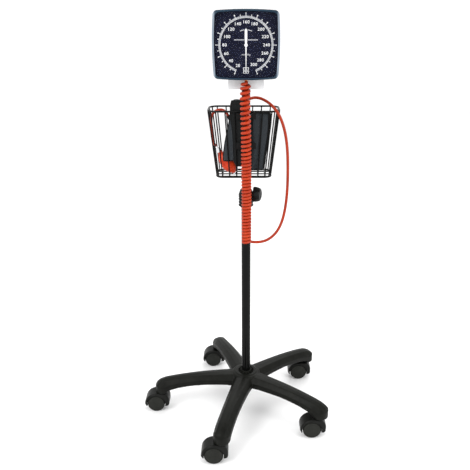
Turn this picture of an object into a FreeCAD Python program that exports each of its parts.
"""Mobile aneroid blood pressure monitor for the upper arm.

A square dial gauge on a two-stage pole, on a moulded five-arm base with twin-wheel casters.
A wire basket behind the pole holds the folded cuff and the inflation bulb, and a curly hose
hangs in front of the pole. +Z is up, -Y is the front, and the pole's axis meets the floor at
the origin. All sizes are in millimetres.
"""
import FreeCAD, Part
import math
import os

V = FreeCAD.Vector
X_AXIS = V(1, 0, 0)
Y_AXIS = V(0, 1, 0)
Z_AXIS = V(0, 0, 1)

# ---- driving dimensions: base and casters
ARM_COUNT = 5
ARM_START = math.radians(183)      # direction of the first arm, from +X
STEM_CIRCLE_R = 248.5
HUB_R = 41
HUB_TOP = 122
HUB_BOTTOM = 84
SOCKET_FLOOR = 92                  # the lower pole stands on this web
ARM_WALL = 4.5
ARM_END_R = 23.5                   # round end of each arm, about the stem's axis
ARM_END_BOTTOM = 61.5
STEM_R = 5.5
WHEEL_R = 26
WHEEL_WIDTH = 19
TRAIL = 22                         # from the stem's axis to the wheels' axle
HOOD_R = 34
HOOD_INNER_R = 28
HOOD_HALF_WIDTH = 22.5
HOOD_EDGE_R = 5                    # rounding along the hood's two sides
HOOD_TOP = 60.2
WEB_HALF = 2.5                     # half the thickness of the web between the wheels
AXLE_R = 3

# ---- driving dimensions: pole
LOWER_R = 12.7
LOWER_BORE_R = 11.2
LOWER_TOP = 662
UPPER_R = 11
UPPER_BORE_R = 9.5
UPPER_BOTTOM = 480
UPPER_TOP = 1040
COLLAR_BOTTOM = 638
COLLAR_TOP = 687
COLLAR_R = 20
KNOB_Z = 674.7
KNOB_TURN = math.radians(-16)      # the clamping knob points right and a little forward
KNOB_R = 20.8
KNOB_SKIRT = 21.2                   # the knob's back rim, from the pole's middle, round the boss
KNOB_DEPTH = 19.6

# ---- driving dimensions: gauge
GAUGE_Z = 1058
GAUGE_HALF = 81
GAUGE_BULGE = 2.5
GAUGE_CORNER = 12
CASE_BACK = -17.5
CASE_FRONT = -54
LENS_FRONT = -64
CASE_WALL = 3
HOSE_Y = -36                       # the curly hose hangs on this line
MODULE = 0.8
PINION_TEETH = 10
SECTOR_TEETH = 100
GEAR_CENTRES = 44.05
LEVER = 6                          # the push rod's lever arm on the sector

# ---- driving dimensions: basket, cuff and hoses
BASKET_X = -6
BASKET_TOP_Z = 889
BASKET_FLOOR_Z = 714
BASKET_FRONT_Y = 24
TOP_HALF_WIDTH = 94
FLOOR_HALF_WIDTH = 73
TOP_DEPTH = 98
FLOOR_DEPTH = 83
TOP_CORNER = 26
FLOOR_CORNER = 18
CORNER_INSET = 1 - math.sqrt(0.5)  # where a round corner lies inside its square one
RIM_WIRE_R = 2.5
WIRE_R = 1.75
HOSE_R = 3.8
BULB_TUBE_R = 3.5
COIL_R = 13.4
COIL_TOP = 974.8
COIL_BOTTOM = 548
BULB_Y = 50

os.makedirs("parts", exist_ok=True)


# ---- helpers
def save(name, shape):
    shape.exportStep("parts/%s.step" % name)
    solids = shape.Solids
    print("%-22s solids %2d  volume %10.1f  valid %s"
          % (name, len(solids), sum(s.Volume for s in solids), shape.isValid()))


def cyl(radius, start, end):
    a, b = V(*start), V(*end)
    return Part.makeCylinder(radius, (b - a).Length, a, b - a)


def box(low, high):
    a, b = V(*low), V(*high)
    d = b - a
    return Part.makeBox(d.x, d.y, d.z, a)


def tube(outer, inner, start, end):
    return cyl(outer, start, end).cut(cyl(inner, start, end))


def fuse(shapes):
    return shapes[0].fuse(shapes[1:]).removeSplitter()


def lathe(points, origin, axis, radial):
    """Turn a profile of (radius, height) points about an axis."""
    corners = [origin + radial * r + axis * h for r, h in points]
    face = Part.Face(Part.makePolygon(corners + [corners[0]]))
    return face.revolve(origin, axis, 360)


def lathe_z(points, x=0, y=0):
    return lathe(points, V(x, y, 0), Z_AXIS, X_AXIS)


def at_gauge(x, y, z):
    return (x, y, GAUGE_Z + z)


def rounded_path(points):
    """Straight runs joined by tangent arcs as large as the runs allow."""
    pts = [V(*p) for p in points]
    edges, radii, last = [], [], pts[0]
    for a, b, c in zip(pts, pts[1:], pts[2:]):
        into, out = (b - a), (c - b)
        reach = 0.45 * min(into.Length, out.Length)
        into.normalize()
        out.normalize()
        half = into.getAngle(out) / 2
        radius = reach / math.tan(half)
        start, end = b - into * reach, b + out * reach
        inward = out - into
        inward.normalize()
        middle = b + inward * (radius / math.cos(half) - radius)
        edges.append(Part.LineSegment(last, start).toShape())
        edges.append(Part.Arc(start, middle, end).toShape())
        radii.append(radius)
        last = end
    edges.append(Part.LineSegment(last, pts[-1]).toShape())
    return Part.Wire(edges), radii


def hose(name, points, radius):
    path, radii = rounded_path(points)
    first = V(*points[1]) - V(*points[0])
    ring = Part.Wire(Part.Circle(V(*points[0]), first, radius).toShape())
    solid = path.makePipeShell([ring], True, False)
    ideal = math.pi * radius ** 2 * path.Length
    print("%s: length %.1f, volume ratio %.4f, tightest %.1f, radii %s"
          % (name, path.Length, solid.Volume / ideal, min(radii), [round(r) for r in radii]))
    return solid


# ---- base
ARM_STATIONS = [                   # distance out, half width, underside, crest
    (26, 31, 88, 122),
    (80, 27, 91, 121),
    (140, 24.5, 90, 118),
    (195, 23.5, 83, 112),
    (232, 23.5, 73, 106),
]
END_STATIONS = [
    ARM_STATIONS[-1],
    (246, 23.5, 62.5, 102.5),
    (257, 23.5, 61.5, 98),
    (266, 23.5, 61.5, 91.5),
    (274, 23.5, 61.5, 80),
]


def arm_section(out, half, low, crest):
    side = low + 0.5 * (crest - low)
    outline = [(-half, low), (-half, side), (-0.55 * half, crest - 2.5), (0, crest),
               (0.55 * half, crest - 2.5), (half, side), (half, low)]
    corners = [V(out, y, z) for y, z in outline]
    return Part.makePolygon(corners + [corners[0]])


def arm_hollow():
    """The open underside of an arm, with cross ribs left standing."""
    sections = [arm_section(out, half - ARM_WALL, low - 12, crest - ARM_WALL)
                for out, half, low, crest in ARM_STATIONS]
    hollow = Part.makeLoft(sections, True, False)
    rib = 3
    for out in (62, 100, 138, 176):
        hollow = hollow.cut(box((out, -40, 60), (out + rib, 40, 130)))
    return hollow.common(box((46, -40, 60), (218, 40, 130)))


def arm_body():
    """Faceted arm whose far end is round in plan."""
    smooth = Part.makeLoft([arm_section(*s) for s in ARM_STATIONS], True, False)
    knuckle = Part.makeLoft([arm_section(*s) for s in END_STATIONS], True, True)
    arm = fuse([smooth, knuckle])
    plan = fuse([box((0, -40, ARM_END_BOTTOM), (STEM_CIRCLE_R, 40, 140)),
                 cyl(ARM_END_R, (STEM_CIRCLE_R, 0, ARM_END_BOTTOM), (STEM_CIRCLE_R, 0, 140))])
    return arm.common(plan)


def base_star():
    limb = arm_body().cut(arm_hollow())
    limb = limb.cut(cyl(STEM_R + 0.05, (STEM_CIRCLE_R, 0, 60), (STEM_CIRCLE_R, 0, 94)))
    limbs = []
    for k in range(ARM_COUNT):
        turned = limb.copy()
        turned.rotate(V(0, 0, 0), Z_AXIS, math.degrees(ARM_START) + k * 360 / ARM_COUNT)
        limbs.append(turned)
    hub = lathe_z([(0, HUB_BOTTOM), (36, HUB_BOTTOM), (HUB_R, HUB_BOTTOM + 5), (HUB_R, HUB_TOP - 3),
                   (HUB_R - 4, HUB_TOP), (33, HUB_TOP), (31, HUB_TOP + 2.5), (23, HUB_TOP + 2.5),
                   (22, HUB_TOP - 4), (16.5, HUB_TOP - 4), (16, HUB_TOP + 7), (0, HUB_TOP + 7)])
    star = fuse([hub] + limbs)
    ribs = []
    for k in range(12):
        rib = box((15.5, -0.9, HUB_TOP - 5), (23, 0.9, HUB_TOP + 1.5))
        rib.rotate(V(0, 0, 0), Z_AXIS, k * 30)
        ribs.append(rib)
    star = fuse([star] + ribs)
    star = star.cut(cyl(LOWER_R + 0.03, (0, 0, SOCKET_FLOOR), (0, 0, 140)))
    return star.cut(cyl(4.3, (0, 0, 70), (0, 0, 100)))


def base_bolt():
    """Hexagon bolt and washer that pull the lower pole down into the hub."""
    washer = tube(9, 4.2, (0, 0, HUB_BOTTOM - 1.6), (0, 0, HUB_BOTTOM))
    shank = cyl(4, (0, 0, HUB_BOTTOM - 1.6), (0, 0, 110))
    corners = [V(7.5 * math.cos(math.radians(60 * k)), 7.5 * math.sin(math.radians(60 * k)),
                 HUB_BOTTOM - 6.9) for k in range(6)]
    head = Part.Face(Part.makePolygon(corners + [corners[0]])).extrude(V(0, 0, 5.3))
    return Part.Compound([fuse([shank, head]), washer])


def arm_tip(k):
    angle = ARM_START + k * 2 * math.pi / ARM_COUNT
    return STEM_CIRCLE_R * math.cos(angle), STEM_CIRCLE_R * math.sin(angle)


def caster_stems():
    stem = lathe_z([(0, 50.8), (STEM_R, 50.8), (STEM_R, 60.4), (9, 60.4), (9, ARM_END_BOTTOM),
                    (STEM_R, ARM_END_BOTTOM), (STEM_R, 92), (STEM_R - 1, 93.5), (0, 93.5)])
    stems = []
    for k in range(ARM_COUNT):
        x, y = arm_tip(k)
        placed = stem.copy()
        placed.translate(V(x, y, 0))
        stems.append(placed)
    return Part.Compound(stems)


def hood_shell():
    """Rounded cowl about the axle at the origin, fuller on the stem's side (+X)."""
    def at(px, pz):
        return V(px, -HOOD_HALF_WIDTH, pz)
    slant = math.sqrt(0.5) * HOOD_R
    over = Part.Arc(at(-HOOD_R, 0), at(-slant, slant), at(0, HOOD_R)).toShape()
    shoulder = Part.Arc(at(22, HOOD_R), at(34, 26), at(39, 12)).toShape()
    toe = Part.Arc(at(39, 2), at(37, -5), at(31, -8)).toShape()
    stops = [over, (at(0, HOOD_R), at(22, HOOD_R)), shoulder, (at(39, 12), at(39, 2)), toe,
             (at(31, -8), at(-30, -8)), (at(-30, -8), at(-HOOD_R, 0))]
    edges = [e if isinstance(e, Part.Shape) else Part.LineSegment(*e).toShape() for e in stops]
    block = Part.Face(Part.Wire(edges)).extrude(V(0, 2 * HOOD_HALF_WIDTH, 0))
    rims = [e for e in block.Edges
            if e.BoundBox.YLength < 0.01 and e.BoundBox.ZMax > -7]
    return block.makeFillet(HOOD_EDGE_R, rims)


def caster_hood(x, y):
    """Housing over the two wheels, with the axle pin moulded in; x, y is the stem's axis."""
    ax = x - TRAIL
    shell = hood_shell()
    shell.translate(V(ax, y, WHEEL_R))
    boss = lathe_z([(0, 38), (12.5, 38), (12.5, HOOD_TOP - 1.5), (11, HOOD_TOP), (0, HOOD_TOP)], x, y)
    hub = cyl(8, (ax, y - WEB_HALF, WHEEL_R), (ax, y + WEB_HALF, WHEEL_R))
    hood = fuse([shell, boss, hub])
    for side in (-1, 1):
        inner, outer = sorted((y + side * WEB_HALF, y + side * 40))
        hood = hood.cut(cyl(HOOD_INNER_R, (ax, inner, WHEEL_R), (ax, outer, WHEEL_R)))
    hood = hood.cut(cyl(STEM_R + 0.05, (x, y, 50.6), (x, y, 70)))
    axle = cyl(AXLE_R, (ax, y - WHEEL_WIDTH, WHEEL_R), (ax, y + WHEEL_WIDTH, WHEEL_R))
    return fuse([hood, axle])


def caster_wheel(x, y, side):
    """Dished wheel with a capped outer face; side is -1 for the near wheel, 1 for the far one."""
    w = WHEEL_WIDTH
    profile = [(AXLE_R + 0.05, 0), (8, 0), (9.5, 1.5), (20, 1.5), (22, 0), (24, 0), (WHEEL_R, 2),
               (WHEEL_R, w - 4), (24.6, w - 1.4), (22.6, w - 0.4), (20.4, w - 1.2), (18, w - 0.5),
               (9, w), (0, w), (0, w - 2.4), (AXLE_R + 0.05, w - 2.4)]
    hub_face = V(x - TRAIL, y + side * 3, WHEEL_R)
    return lathe(profile, hub_face, Y_AXIS * side, X_AXIS)


# ---- pole and height clamp
def collar():
    """Clamp collar at the top of the lower pole, with three grip fins under its head."""
    body = lathe_z([(LOWER_R + 0.03, COLLAR_BOTTOM), (15.2, COLLAR_BOTTOM), (15.2, 665),
                    (COLLAR_R - 1, 665), (COLLAR_R, 666.5), (COLLAR_R, 673), (COLLAR_R - 1, 676),
                    (15.5, COLLAR_TOP - 1), (14.5, COLLAR_TOP), (UPPER_R + 0.4, COLLAR_TOP),
                    (UPPER_R + 0.4, COLLAR_TOP - 3), (13, COLLAR_TOP - 3), (13, LOWER_TOP),
                    (LOWER_R + 0.03, LOWER_TOP)])
    fins = [tube(COLLAR_R, 15, (0, 0, z - 1.4), (0, 0, z + 1.4)) for z in (643.6, 652, 660.4)]
    side = V(math.cos(KNOB_TURN), math.sin(KNOB_TURN), 0)
    boss = Part.makeCylinder(7.5, 5.5, V(0, 0, KNOB_Z) + side * 14.5, side)
    drill = Part.makeCylinder(4.05, 12, V(0, 0, KNOB_Z) + side * 11, side)
    return fuse([body, boss] + fins).cut(drill)


def knob_parts():
    """Five-lobed knob and its clamping screw, along the knob's axis."""
    start = V(0, 0, KNOB_Z)
    side = V(math.cos(KNOB_TURN), math.sin(KNOB_TURN), 0)
    across = side.cross(Z_AXIS)
    back = start + side * KNOB_SKIRT
    prism = [Part.makeCylinder(15.5, KNOB_DEPTH + 1, back, side)]
    for k in range(5):
        a = math.radians(90 + 72 * k)
        centre = back + (across * math.cos(a) + Z_AXIS * math.sin(a)) * 14
        prism.append(Part.makeCylinder(6.8, KNOB_DEPTH + 1, centre, side))
    front = KNOB_SKIRT + KNOB_DEPTH
    crown = lathe([(0, 20.4), (9, 20.4), (9, KNOB_SKIRT), (19.6, KNOB_SKIRT), (KNOB_R, KNOB_SKIRT + 1.4),
                   (KNOB_R, KNOB_SKIRT + 6), (17.6, front - 3.4), (16, front - 1.2), (13, front),
                   (10, front), (8.5, front - 1.2), (0, front - 1.2)], start, side, Z_AXIS)
    screw = Part.makeCylinder(4, 18, start + side * 13.3, side)
    knob = fuse(prism).common(crown).cut(Part.makeCylinder(4, 12, start + side * 19.5, side))
    return knob, screw


def lower_pole():
    return tube(LOWER_R, LOWER_BORE_R, (0, 0, SOCKET_FLOOR), (0, 0, LOWER_TOP))


def foot_plug():
    plug = cyl(LOWER_BORE_R, (0, 0, SOCKET_FLOOR), (0, 0, 116))
    return plug.cut(cyl(4, (0, 0, 80), (0, 0, 111)))


def collar_bush():
    ring = tube(13, UPPER_R + 0.08, (0, 0, LOWER_TOP), (0, 0, COLLAR_TOP - 3))
    return ring.cut(box((-14, -1, LOWER_TOP - 1), (-9, 1, COLLAR_TOP)))


def upper_pole():
    return tube(UPPER_R, UPPER_BORE_R, (0, 0, UPPER_BOTTOM), (0, 0, UPPER_TOP))


def pole_guide():
    """Nylon plug in the foot of the upper pole that runs in the lower pole."""
    return lathe_z([(0, 472), (10.4, 472), (11.12, 473.5), (11.12, UPPER_BOTTOM),
                    (UPPER_BORE_R, UPPER_BOTTOM), (UPPER_BORE_R, 494), (0, 494)])


def pole_cap():
    return lathe_z([(0, 1028), (UPPER_BORE_R, 1028), (UPPER_BORE_R, UPPER_TOP), (12, UPPER_TOP),
                    (12, 1043), (10, 1045), (0, 1045.6)])


# ---- gauge bracket
PLATE_BACK = -14.5
CLAMP_LOW, CLAMP_HIGH = 982, 1030


def bracket():
    """Channel plate behind the gauge, with the fixed half of the pole clamp."""
    plate = box((-44.5, CASE_BACK, 951), (44.5, PLATE_BACK, 1092))
    lips = [box((-44.5, PLATE_BACK, 951), (-42.5, -7, 1092)), box((42.5, PLATE_BACK, 951), (44.5, -7, 1092))]
    saddle = box((-24, PLATE_BACK, CLAMP_LOW), (24, -0.6, CLAMP_HIGH))
    body = fuse([plate, saddle] + lips)
    body = body.cut(cyl(UPPER_R, (0, 0, 900), (0, 0, 1100)))
    for x, z in CLAMP_BOLTS:
        body = body.cut(cyl(2.5, (x, CASE_BACK - 1, z), (x, 5, z)))
    for x, z in CASE_SCREWS:
        body = body.cut(cyl(2.1, (x, CASE_BACK - 1, z), (x, -10, z)))
    return body


CLAMP_BOLTS = [(x, z) for x in (-19.2, 19.2) for z in (CLAMP_LOW + 10, CLAMP_HIGH - 10)]
CASE_SCREWS = [(x, z) for x in (-34, 34) for z in (1000, 1080)]


def clamp_cap():
    cap = fuse([box((-24, 0.6, CLAMP_LOW), (24, 6, CLAMP_HIGH)), cyl(15, (0, 0, CLAMP_LOW), (0, 0, CLAMP_HIGH))])
    cap = cap.common(box((-30, 0.6, 900), (30, 20, 1100)))
    cap = cap.cut(cyl(UPPER_R, (0, 0, 900), (0, 0, 1100)))
    for x, z in CLAMP_BOLTS:
        cap = cap.cut(cyl(2.5, (x, -1, z), (x, 10, z)))
    return cap


def screw_y(x, z, shank_r, head_r, head_back, head_front, tip):
    """Screw along Y whose head faces the back."""
    return fuse([cyl(shank_r, (x, tip, z), (x, head_front, z)), cyl(head_r, (x, head_front, z), (x, head_back, z))])


def bracket_screws():
    clamps = [screw_y(x, z, 2.5, 4.5, 9.5, 6, PLATE_BACK + 1) for x, z in CLAMP_BOLTS]
    cases = [screw_y(x, z, 2, 3.8, PLATE_BACK + 2.6, PLATE_BACK, CASE_BACK - 9) for x, z in CASE_SCREWS]
    return Part.Compound(clamps + cases)


# ---- gauge
def pillow(half, y):
    """Square outline with bulging sides and round corners, in the plane at y."""
    flat = half - GAUGE_BULGE
    near, corner = flat - GAUGE_CORNER, flat - GAUGE_CORNER * 0.29

    def at(u, w):
        return V(u, y, GAUGE_Z + w)
    edges = []
    for turn in range(4):
        c, s = [(1, 0), (0, 1), (-1, 0), (0, -1)][turn]

        def spin(u, w):
            return at(u * c - w * s, u * s + w * c)
        edges.append(Part.Arc(spin(flat, -near), spin(half, 0), spin(flat, near)).toShape())
        edges.append(Part.Arc(spin(flat, near), spin(corner, corner), spin(near, flat)).toShape())
    return Part.Wire(edges)


def slab(half, y0, y1):
    return Part.Face(pillow(half, y0)).extrude(V(0, y1 - y0, 0))


def taper(half0, y0, half1, y1):
    return Part.makeLoft([pillow(half0, y0), pillow(half1, y1)], True, True)


def gauge_case():
    step = -30
    outer = fuse([slab(GAUGE_HALF, CASE_FRONT, step), taper(GAUGE_HALF, step, 74, CASE_BACK)])
    inner = fuse([slab(GAUGE_HALF - CASE_WALL, CASE_FRONT - 1, step),
                  taper(GAUGE_HALF - CASE_WALL, step, 71.6, CASE_BACK - CASE_WALL)])
    posts = [cyl(4, at_gauge(x, CASE_BACK - 2, z), at_gauge(x, -55, z)) for x in (-62, 62) for z in (-62, 62)]
    bosses = [cyl(5, (x, CASE_BACK - 1, z), (x, CASE_BACK - 11, z)) for x, z in CASE_SCREWS]
    case = fuse([outer.cut(inner)] + posts + bosses)
    for x, z in CASE_SCREWS:
        case = case.cut(cyl(2, (x, CASE_BACK + 1, z), (x, CASE_BACK - 9, z)))
    return case.cut(cyl(4.5, at_gauge(0, HOSE_Y, -90), at_gauge(0, HOSE_Y, -70)))


def gauge_lens():
    step = CASE_FRONT - 4
    outer = fuse([slab(GAUGE_HALF, CASE_FRONT, step), taper(GAUGE_HALF, step, 76, LENS_FRONT)])
    inner = fuse([slab(GAUGE_HALF - 2.8, CASE_FRONT, step), taper(GAUGE_HALF - 2.8, step, 75.2, LENS_FRONT + 2.5)])
    return outer.cut(inner)


def dial_plate():
    return slab(GAUGE_HALF - 3.2, -56, -55).cut(cyl(3, at_gauge(0, -60, 0), at_gauge(0, -50, 0)))


def pointer():
    """Needle at rest, straight down to zero, with a broad tail above the hub."""
    outline = [(-0.5, -57), (0.5, -57), (1.4, -4), (3, 12), (3, 33), (0, 38), (-3, 33), (-3, 12), (-1.4, -4)]
    corners = [V(x, -58, GAUGE_Z + z) for x, z in outline]
    blade = Part.Face(Part.makePolygon(corners + [corners[0]])).extrude(V(0, 1, 0))
    hub = cyl(4, at_gauge(0, -58.6, 0), at_gauge(0, -56.8, 0))
    return fuse([blade, hub]).cut(cyl(1.5, at_gauge(0, -60, 0), at_gauge(0, -50, 0)))


def tooth_flank(teeth, addendum, dedendum, backlash):
    """(radius, half angle) points of one involute flank, from root to tip."""
    pitch_r = MODULE * teeth / 2
    pressure = math.radians(20)
    base_r = pitch_r * math.cos(pressure)
    at_pitch = math.pi / (2 * teeth) - backlash / (2 * pitch_r) + math.tan(pressure) - pressure
    root, tip = pitch_r - dedendum, pitch_r + addendum
    flank = []
    if root < base_r:
        flank.append((root, at_pitch))
    start = max(root, base_r)
    for k in range(5):
        r = start + (tip - start) * k / 4
        alpha = math.acos(min(1, base_r / r))
        flank.append((r, at_pitch - (math.tan(alpha) - alpha)))
    return flank


def gear_points(teeth, numbers, first_angle, flank):
    points = []
    for n in numbers:
        centre = first_angle + n * 2 * math.pi / teeth
        points += [(r, centre - half) for r, half in flank]
        points += [(r, centre + half) for r, half in reversed(flank)]
    return points


def gear_face(points, cx, y):
    corners = [V(cx + r * math.cos(a), y, GAUGE_Z + r * math.sin(a)) for r, a in points]
    return Part.Face(Part.makePolygon(corners + [corners[0]]))


def pointer_arbor():
    flank = tooth_flank(PINION_TEETH, 0.62, 0.95, 0.12)
    teeth = gear_face(gear_points(PINION_TEETH, range(PINION_TEETH), 0, flank), 0, -42)
    staff = cyl(1.5, at_gauge(0, -59, 0), at_gauge(0, -30.5, 0))
    return fuse([staff, teeth.extrude(V(0, 4, 0))])


def sector_gear():
    """Toothed sector on its own arbor, with the lever pin that the push rod lifts."""
    flank = tooth_flank(SECTOR_TEETH, 0.5, 1.0, 0.12)
    pitch_angle = 2 * math.pi / SECTOR_TEETH
    points = gear_points(SECTOR_TEETH, range(-13, 2), math.pi + pitch_angle / 2, flank)
    low, high = points[0][1], points[-1][1]
    points += [(34, high - (high - low) * k / 6) for k in range(7)]
    rim = gear_face(points, GEAR_CENTRES, -41).extrude(V(0, 2, 0))
    middle = (low + high) / 2
    arm = box((4, -41, GAUGE_Z - 4), (37, -39, GAUGE_Z + 4))
    arm.rotate(V(0, 0, GAUGE_Z), Y_AXIS, -math.degrees(middle))
    arm.translate(V(GEAR_CENTRES, 0, 0))
    lever = box((GEAR_CENTRES, -41, GAUGE_Z - 2), (GEAR_CENTRES + LEVER, -39, GAUGE_Z + 2))
    pin_x = GEAR_CENTRES + LEVER
    return fuse([rim, arm, lever,
                 cyl(5.5, at_gauge(GEAR_CENTRES, -41, 0), at_gauge(GEAR_CENTRES, -39, 0)),
                 cyl(2, at_gauge(pin_x, -41, 0), at_gauge(pin_x, -39, 0)),
                 cyl(1, at_gauge(pin_x, -39.5, 0), at_gauge(pin_x, -34, 0)),
                 cyl(1.5, at_gauge(GEAR_CENTRES, -46.5, 0), at_gauge(GEAR_CENTRES, -31.5, 0))])


PILLARS = [(-11, -7.5), (-11, 7.5), (57.5, -7.5), (57.5, 7.5)]


def movement_plate(y0, y1):
    plate = box((-15, y0, GAUGE_Z - 11), (61, y1, GAUGE_Z + 11))
    for x in (0, GEAR_CENTRES):
        plate = plate.cut(cyl(1.55, at_gauge(x, y0 - 1, 0), at_gauge(x, y1 + 1, 0)))
    return plate


def front_plate():
    plate = movement_plate(-46.5, -45)
    for x, z in PILLARS:
        plate = plate.cut(cyl(1.2, at_gauge(x, -47, z), at_gauge(x, -44, z)))
    return plate


def back_plate():
    parts = [movement_plate(-33, -31.5)]
    for x, z in PILLARS:
        parts.append(cyl(2, at_gauge(x, CASE_BACK - CASE_WALL, z), at_gauge(x, -45, z)))
        parts.append(cyl(1.2, at_gauge(x, -45, z), at_gauge(x, -47.2, z)))
    return fuse(parts)


def hairspring():
    """Flat spiral that takes the play out of the gears."""
    turns, inner, outer, strip = 3, 3.2, 9, 0.4

    def curve(offset):
        points = []
        for k in range(turns * 12 + 1):
            a = k * math.pi / 6
            r = inner + offset + (outer - inner) * k / (turns * 12)
            points.append(V(r * math.cos(a), -36.2, GAUGE_Z + r * math.sin(a)))
        spline = Part.BSplineCurve()
        spline.interpolate(points)
        return spline.toShape(), points
    near, a = curve(0)
    far, b = curve(strip)
    ends = [Part.LineSegment(a[0], b[0]).toShape(), Part.LineSegment(a[-1], b[-1]).toShape()]
    outline = Part.Wire(Part.__sortEdges__([near, far] + ends))
    spiral = Part.Face(outline).extrude(V(0, 1, 0))
    stud = cyl(0.9, at_gauge(outer + strip / 2, -36.2, 0), at_gauge(outer + strip / 2, -33, 0))
    return fuse([spiral, stud])


CAPSULE_X = GEAR_CENTRES + LEVER
CAPSULE_LOW, CAPSULE_HIGH = -48, -30


def capsule():
    """Stack of four diaphragm chambers that rises as the pressure does."""
    chambers = 4
    tall = (CAPSULE_HIGH - CAPSULE_LOW) / chambers

    def profile(waist, rim, low, high):
        points = [(0, low)]
        for k in range(chambers):
            points += [(waist, max(low, CAPSULE_LOW + k * tall)), (rim, CAPSULE_LOW + (k + 0.5) * tall)]
        return points + [(waist, high), (0, high)]
    centre = V(CAPSULE_X, HOSE_Y, GAUGE_Z)
    body = lathe(profile(7, 11, CAPSULE_LOW, CAPSULE_HIGH), centre, Z_AXIS, X_AXIS)
    room = lathe(profile(6, 9.6, CAPSULE_LOW + 0.7, CAPSULE_HIGH - 0.7), centre, Z_AXIS, X_AXIS)
    stem = cyl(2.5, at_gauge(CAPSULE_X, HOSE_Y, -59), at_gauge(CAPSULE_X, HOSE_Y, CAPSULE_LOW + 0.5))
    nipple = cyl(2, at_gauge(CAPSULE_X, HOSE_Y, -56), at_gauge(CAPSULE_X - 14, HOSE_Y, -56))
    ways = [cyl(1.1, at_gauge(CAPSULE_X, HOSE_Y, -56), at_gauge(CAPSULE_X, HOSE_Y, -40)),
            cyl(1.1, at_gauge(CAPSULE_X, HOSE_Y, -56), at_gauge(CAPSULE_X - 15, HOSE_Y, -56))]
    return fuse([body, stem, nipple]).cut(room).cut(fuse(ways))


def capsule_bracket():
    shelf = box(at_gauge(40, -47, -50), at_gauge(60, -20.5, CAPSULE_LOW))
    leg = box(at_gauge(40, -23, -64), at_gauge(57, -20.5, -50))
    return fuse([shelf, leg]).cut(cyl(2.55, at_gauge(CAPSULE_X, HOSE_Y, -60), at_gauge(CAPSULE_X, HOSE_Y, -40)))


def push_rod():
    foot = cyl(4, at_gauge(CAPSULE_X, HOSE_Y, CAPSULE_HIGH + 0.1), at_gauge(CAPSULE_X, HOSE_Y, CAPSULE_HIGH + 1.2))
    rod = cyl(1.5, at_gauge(CAPSULE_X, HOSE_Y, CAPSULE_HIGH + 0.5), at_gauge(CAPSULE_X, HOSE_Y, -1.5))
    return fuse([foot, rod])


def hose_port():
    """Brass port in the case's floor: a barb for the hose below, a nipple for the inner tube above."""
    floor = -GAUGE_HALF
    body = lathe([(1.1, floor - 7), (2.6, floor - 7), (2.6, floor - 2), (7, floor - 2), (7, floor - 0.05),
                  (4.45, floor - 0.05), (4.45, floor + CASE_WALL + 2), (2, floor + CASE_WALL + 2),
                  (2, floor + 14), (1.1, floor + 14)], V(0, HOSE_Y, GAUGE_Z), Z_AXIS, X_AXIS)
    return body


def inner_tube():
    def pipe(radius):
        start, bend, end = V(CAPSULE_X - 5, HOSE_Y, GAUGE_Z - 56), 9, GAUGE_Z - 75.9
        turn = V(0, HOSE_Y, GAUGE_Z - 56)
        a, c = turn + V(bend, 0, 0), turn - V(0, 0, bend)
        b = turn + V(bend, 0, -bend) + V(-1, 0, 1) * (bend * math.sqrt(0.5))
        path = Part.Wire([Part.LineSegment(start, a).toShape(), Part.Arc(a, b, c).toShape(),
                          Part.LineSegment(c, V(0, HOSE_Y, end)).toShape()])
        ring = Part.Wire(Part.Circle(start, V(-1, 0, 0), radius).toShape())
        return path.makePipeShell([ring], True, False)
    return pipe(3.1).cut(pipe(2.02))


# ---- basket
def basket_outline(z, inset=0):
    """Corners of the basket's plan at a height: left, right, front, back."""
    f = (z - BASKET_FLOOR_Z) / (BASKET_TOP_Z - BASKET_FLOOR_Z)
    half = FLOOR_HALF_WIDTH + f * (TOP_HALF_WIDTH - FLOOR_HALF_WIDTH) - inset
    back = BASKET_FRONT_Y + FLOOR_DEPTH + f * (TOP_DEPTH - FLOOR_DEPTH) - inset
    return BASKET_X - half, BASKET_X + half, BASKET_FRONT_Y + inset, back


def basket_ring(z, wire_r, corner):
    left, right, front, back = basket_outline(z)
    s = corner * CORNER_INSET

    def at(x, y):
        return V(x, y, z)
    stops = [((left + corner, front), (right - corner, front), (right - s, front + s), (right, front + corner)),
             ((right, front + corner), (right, back - corner), (right - s, back - s), (right - corner, back)),
             ((right - corner, back), (left + corner, back), (left + s, back - s), (left, back - corner)),
             ((left, back - corner), (left, front + corner), (left + s, front + s), (left + corner, front))]
    edges = []
    for a, b, middle, end in stops:
        edges.append(Part.LineSegment(at(*a), at(*b)).toShape())
        edges.append(Part.Arc(at(*b), at(*middle), at(*end)).toShape())
    path = Part.Wire(edges)
    ring = Part.Wire(Part.Circle(at(left + corner, front), X_AXIS, wire_r).toShape())
    return path.makePipeShell([ring], True, False)


FRONT_WIRES = 7
SIDE_WIRES = 3


def wire_places():
    """Foot and head of each upright wire, front, back, left and right."""
    low = basket_outline(BASKET_FLOOR_Z)
    rim_gap = RIM_WIRE_R + 0.3
    top_z = BASKET_TOP_Z - rim_gap
    high = basket_outline(top_z)
    foot_z = BASKET_FLOOR_Z + rim_gap
    f = rim_gap / (BASKET_TOP_Z - BASKET_FLOOR_Z)

    def between(a, b, t):
        return a + (b - a) * t
    places = []
    for k in range(FRONT_WIRES):
        t = 0.5 + (k - (FRONT_WIRES - 1) / 2) * 0.13
        x0, x1 = between(low[0], low[1], t), between(high[0], high[1], t)
        for side in (2, 3):
            foot = V(between(x0, x1, f), between(low[side], high[side], f), foot_z)
            places.append((foot, V(x1, high[side], top_z)))
    for k in range(SIDE_WIRES):
        t = 0.5 + (k - (SIDE_WIRES - 1) / 2) * 0.32
        y0, y1 = between(low[2], low[3], t), between(high[2], high[3], t)
        for side in (0, 1):
            foot = V(between(low[side], high[side], f), between(y0, y1, f), foot_z)
            places.append((foot, V(high[side], y1, top_z)))
    return places


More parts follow.
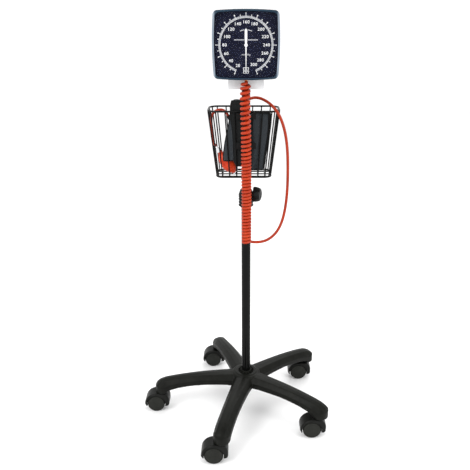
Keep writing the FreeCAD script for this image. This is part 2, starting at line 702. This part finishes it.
def corner_places():
    """Foot and head of the four wires that frame the basket's corners."""
    rim_gap = RIM_WIRE_R + 0.3
    low, high = basket_outline(BASKET_FLOOR_Z), basket_outline(BASKET_TOP_Z)
    foot_in, head_in = FLOOR_CORNER * CORNER_INSET, TOP_CORNER * CORNER_INSET
    places = []
    for side, inward in ((0, 1), (1, -1)):
        for face, back in ((2, 1), (3, -1)):
            foot = V(low[side] + inward * foot_in, low[face] + back * foot_in, BASKET_FLOOR_Z + rim_gap)
            head = V(high[side] + inward * head_in, high[face] + back * head_in, BASKET_TOP_Z - rim_gap)
            places.append((foot, head))
    return places


def basket_uprights():
    return Part.Compound([Part.makeCylinder(WIRE_R, (b - a).Length, a, b - a)
                          for a, b in wire_places() + corner_places()])


def basket_floor():
    """Floor wires: seven from front to back, with three across beneath them."""
    left, right, front, back = basket_outline(BASKET_FLOOR_Z, RIM_WIRE_R + 0.3)
    feet = [foot for foot, head in wire_places()]
    wires = []
    for foot in feet[0:2 * FRONT_WIRES:2]:
        z = BASKET_FLOOR_Z + WIRE_R
        wires.append(cyl(WIRE_R, (foot.x, front, z), (foot.x, back, z)))
    for foot in feet[2 * FRONT_WIRES::2]:
        z = BASKET_FLOOR_Z - WIRE_R - 0.02
        wires.append(cyl(WIRE_R, (left, foot.y, z), (right, foot.y, z)))
    return Part.Compound(wires)


CLAMP_BANDS = (800, 878)


def basket_clamps():
    """Two bands round the upper pole, each with a plate that carries the front wires."""
    bands = []
    for z in CLAMP_BANDS:
        band = tube(13.2, UPPER_R, (0, 0, z - 7), (0, 0, z + 7))
        tongue = box((-7, 11, z - 7), (7, 20, z + 7)).cut(cyl(UPPER_R, (0, 0, z - 8), (0, 0, z + 8)))
        plate = box((-26, 19.6, z - 8), (26, BASKET_FRONT_Y - WIRE_R - 0.05, z + 8))
        bands.append(fuse([band, tongue, plate]).cut(cyl(2, (0, 10, z), (0, 24, z))))
    return Part.Compound(bands)


def basket_screws():
    return Part.Compound([screw_y(0, z, 2, 4, BASKET_FRONT_Y + 0.6, BASKET_FRONT_Y - WIRE_R - 0.05, 11.4)
                          for z in CLAMP_BANDS])


# ---- cuff and bulb
BULB_AXIS = V(0.576, 0, -0.817)
BULB_START = V(-70, BULB_Y, 777)
BULB_ACROSS = V(0.817, 0, 0.576)


def along_bulb(h):
    return BULB_START + BULB_AXIS * h


def turned_spline(points, low_cap, high_cap):
    """Solid of revolution about the bulb's axis, through (radius, height) points."""
    curve = Part.BSplineCurve()
    curve.interpolate([BULB_START + BULB_ACROSS * r + BULB_AXIS * h for r, h in points])
    foot, head = along_bulb(low_cap), along_bulb(high_cap)
    first, last = curve.StartPoint, curve.EndPoint
    edges = [Part.LineSegment(foot, first).toShape(), curve.toShape(),
             Part.LineSegment(last, head).toShape(), Part.LineSegment(head, foot).toShape()]
    return Part.Face(Part.Wire(edges)).revolve(BULB_START, BULB_AXIS, 360)


BULB_PROFILE = [(6, -3), (6.4, 2), (11, 8), (16.5, 17), (19.4, 30), (19, 43), (15, 56), (9, 64.5), (6.2, 68)]


def bulb():
    outer = turned_spline(BULB_PROFILE, -3, 68)
    wall = 2.4
    inner = turned_spline([(max(r - wall, 2.5), min(max(h, 5), 62.5)) for r, h in BULB_PROFILE[1:-1]], 5, 62.5)
    return outer.cut(inner).cut(Part.makeCylinder(3, 76, along_bulb(-4), BULB_AXIS))


def bulb_envelope(extra):
    return turned_spline([(r + extra, h) for r, h in BULB_PROFILE], -3, 68)


def valve_body():
    """Chrome release valve on the bulb's neck, with a barb for the tube and a side port."""
    turned = lathe([(0, 6), (3, 6), (3, -3), (6.6, -3), (7.6, -5), (7.6, -14), (6, -17), (3.4, -17), (3.4, -19),
                    (2.6, -19), (2.6, -24), (0, -24)], BULB_START, BULB_AXIS, Y_AXIS)
    port = Part.makeCylinder(3.6, 8, along_bulb(-10) + V(0, -3, 0), V(0, -1, 0))
    body = turned.fuse(port)
    return body.cut(Part.makeCylinder(2.05, 12, along_bulb(-10) + V(0, -1, 0), V(0, -1, 0)))


def valve_barb(extra):
    """The end of the valve that stands inside its tube."""
    return Part.makeCylinder(2.6 + extra, 5 + extra, along_bulb(-24 - extra), BULB_AXIS)


def valve_screw():
    side = V(0, -1, 0)
    start = along_bulb(-10)
    shank = Part.makeCylinder(2, 9, start + side * 3, side)
    wheel = lathe([(0, 11.4), (6.4, 11.4), (7.2, 12.2), (7.2, 17.2), (6.4, 18), (0, 18)], start, side, BULB_ACROSS)
    grooves = []
    for k in range(14):
        a = 2 * math.pi * k / 14
        centre = start + side * 11 + (BULB_ACROSS * math.cos(a) + BULB_AXIS * math.sin(a)) * 7.5
        grooves.append(Part.makeCylinder(0.7, 8, centre, side))
    return fuse([shank, wheel]).cut(fuse(grooves))


def bulb_end_valve():
    return lathe([(1, 60), (2.98, 60), (2.98, 68), (5.2, 68), (5.2, 70.5), (4, 72), (1, 72)],
                 BULB_START, BULB_AXIS, BULB_ACROSS)


def folded_pad(outline, y_front, y_back, round_by):
    """Stack of folded cuff layers: an upright outline, thinner towards its two faces."""
    cx = sum(x for x, z in outline) / len(outline)
    cz = sum(z for x, z in outline) / len(outline)
    sections = []
    for y, grow in ((y_front, 0.9), (y_front + round_by, 1), (y_back - round_by, 1), (y_back, 0.9)):
        corners = [V(cx + (x - cx) * grow, y, cz + (z - cz) * grow) for x, z in outline]
        sections.append(Part.makePolygon(corners + [corners[0]]))
    return Part.makeLoft(sections, True, True)


TALL_FOLD = [(-60, 757), (-62, 770), (-57, 808), (-45, 862), (-39.5, 905), (-38, 915), (-34, 917), (-8, 917),
             (-3, 910), (3, 741), (-26, 741), (-32, 757)]
SHORT_FOLD = [(9, 733), (50, 730), (54, 738), (58.5, 800), (65, 872), (64, 884), (16, 885), (9, 878)]
TALL_Y = (26.8, 68)
SHORT_Y = (27.5, 66)
SLEEVE_R = 5.2
HOSE_TAIL = [(8, -27, 551.6), (34, -27, 549), (60, -25, 556), (83.5, -21, 576.5), (99, -16, 609), (107.5, -11, 650),
             (110.5, -7, 697), (110.5, -4, 743), (109, -1, 787), (104.5, 4, 826), (96.5, 8, 858), (85, 14, 884),
             (70, 25, 903), (51, 37, 916), (31, 45, 923), (10, 50, 920), (0, 51, 912)]
BULB_TUBE = [(-80.96, 50, 792.55), (-88.1, 50, 802.7), (-91.3, 49.5, 819), (-92, 48.5, 839), (-92.2, 48, 859),
             (-91, 47.8, 876.5), (-80.6, 47.6, 888), (-65.5, 48, 891.5), (-53.5, 48.8, 886.2), (-47.3, 50, 874.5)]


def sleeve(route, length):
    """Tapered fabric sleeve that takes the end of a hose into the cuff."""
    mouth, before = V(*route[-1]), V(*route[-2])
    out = before - mouth
    out.normalize()
    return Part.makeCone(SLEEVE_R, SLEEVE_R - 1.2, length, mouth - out * length, out)


def cuff_sleeves():
    return Part.Compound([sleeve(BULB_TUBE, 20), sleeve(HOSE_TAIL, 22)])


def cuff_tall_fold():
    pad = folded_pad(TALL_FOLD, *TALL_Y, 6).cut(bulb_envelope(0.6))
    return pad.cut(cuff_sleeves().Solids[0]).cut(cuff_sleeves().Solids[1])


def cuff_short_fold():
    return folded_pad(SHORT_FOLD, *SHORT_Y, 6)


# ---- hoses
def hose_coil():
    """Outer shape of the curly part of the hose, bored where the port's barb stands in it."""
    coil = cyl(COIL_R, (0, HOSE_Y, COIL_BOTTOM), (0, HOSE_Y, COIL_TOP))
    return coil.cut(cyl(2.65, (0, HOSE_Y, GAUGE_Z - GAUGE_HALF - 7.1), (0, HOSE_Y, COIL_TOP + 1)))


# ---- build every node
save("base_star", base_star())
save("base_bolt", base_bolt())
save("caster_stems", caster_stems())
for number in range(ARM_COUNT):
    tip_x, tip_y = arm_tip(number)
    save("caster_%d_hood" % (number + 1), caster_hood(tip_x, tip_y))
    save("caster_%d_wheel_near" % (number + 1), caster_wheel(tip_x, tip_y, -1))
    save("caster_%d_wheel_far" % (number + 1), caster_wheel(tip_x, tip_y, 1))

save("lower_pole", lower_pole())
save("pole_foot_plug", foot_plug())
save("clamp_collar", collar())
save("collar_bush", collar_bush())
knob_shape, screw_shape = knob_parts()
save("clamp_knob", knob_shape)
save("clamp_screw", screw_shape)
save("upper_pole", upper_pole())
save("pole_guide", pole_guide())
save("pole_cap", pole_cap())

save("gauge_bracket", bracket())
save("bracket_clamp_cap", clamp_cap())
save("bracket_screws", bracket_screws())
save("gauge_case", gauge_case())
save("gauge_lens", gauge_lens())
save("dial_plate", dial_plate())
save("pointer", pointer())
save("pointer_arbor", pointer_arbor())
save("sector_gear", sector_gear())
save("movement_front_plate", front_plate())
save("movement_back_plate", back_plate())
save("hairspring", hairspring())
save("capsule", capsule())
save("capsule_bracket", capsule_bracket())
save("push_rod", push_rod())
save("hose_port", hose_port())
save("inner_tube", inner_tube())

save("basket_top_rim", basket_ring(BASKET_TOP_Z, RIM_WIRE_R, TOP_CORNER))
save("basket_floor_rim", basket_ring(BASKET_FLOOR_Z, RIM_WIRE_R, FLOOR_CORNER))
save("basket_uprights", basket_uprights())
save("basket_floor", basket_floor())
save("basket_clamps", basket_clamps())
save("basket_screws", basket_screws())

save("cuff_tall_fold", cuff_tall_fold())
save("cuff_short_fold", cuff_short_fold())
save("cuff_sleeves", cuff_sleeves())
save("bulb", bulb())
save("valve_body", valve_body())
save("valve_screw", valve_screw())
save("bulb_end_valve", bulb_end_valve())
save("hose_coil", hose_coil())
save("hose_tail", hose("hose_tail", HOSE_TAIL, HOSE_R))
save("bulb_tube", hose("bulb_tube", BULB_TUBE, BULB_TUBE_R).cut(valve_barb(0.05)))
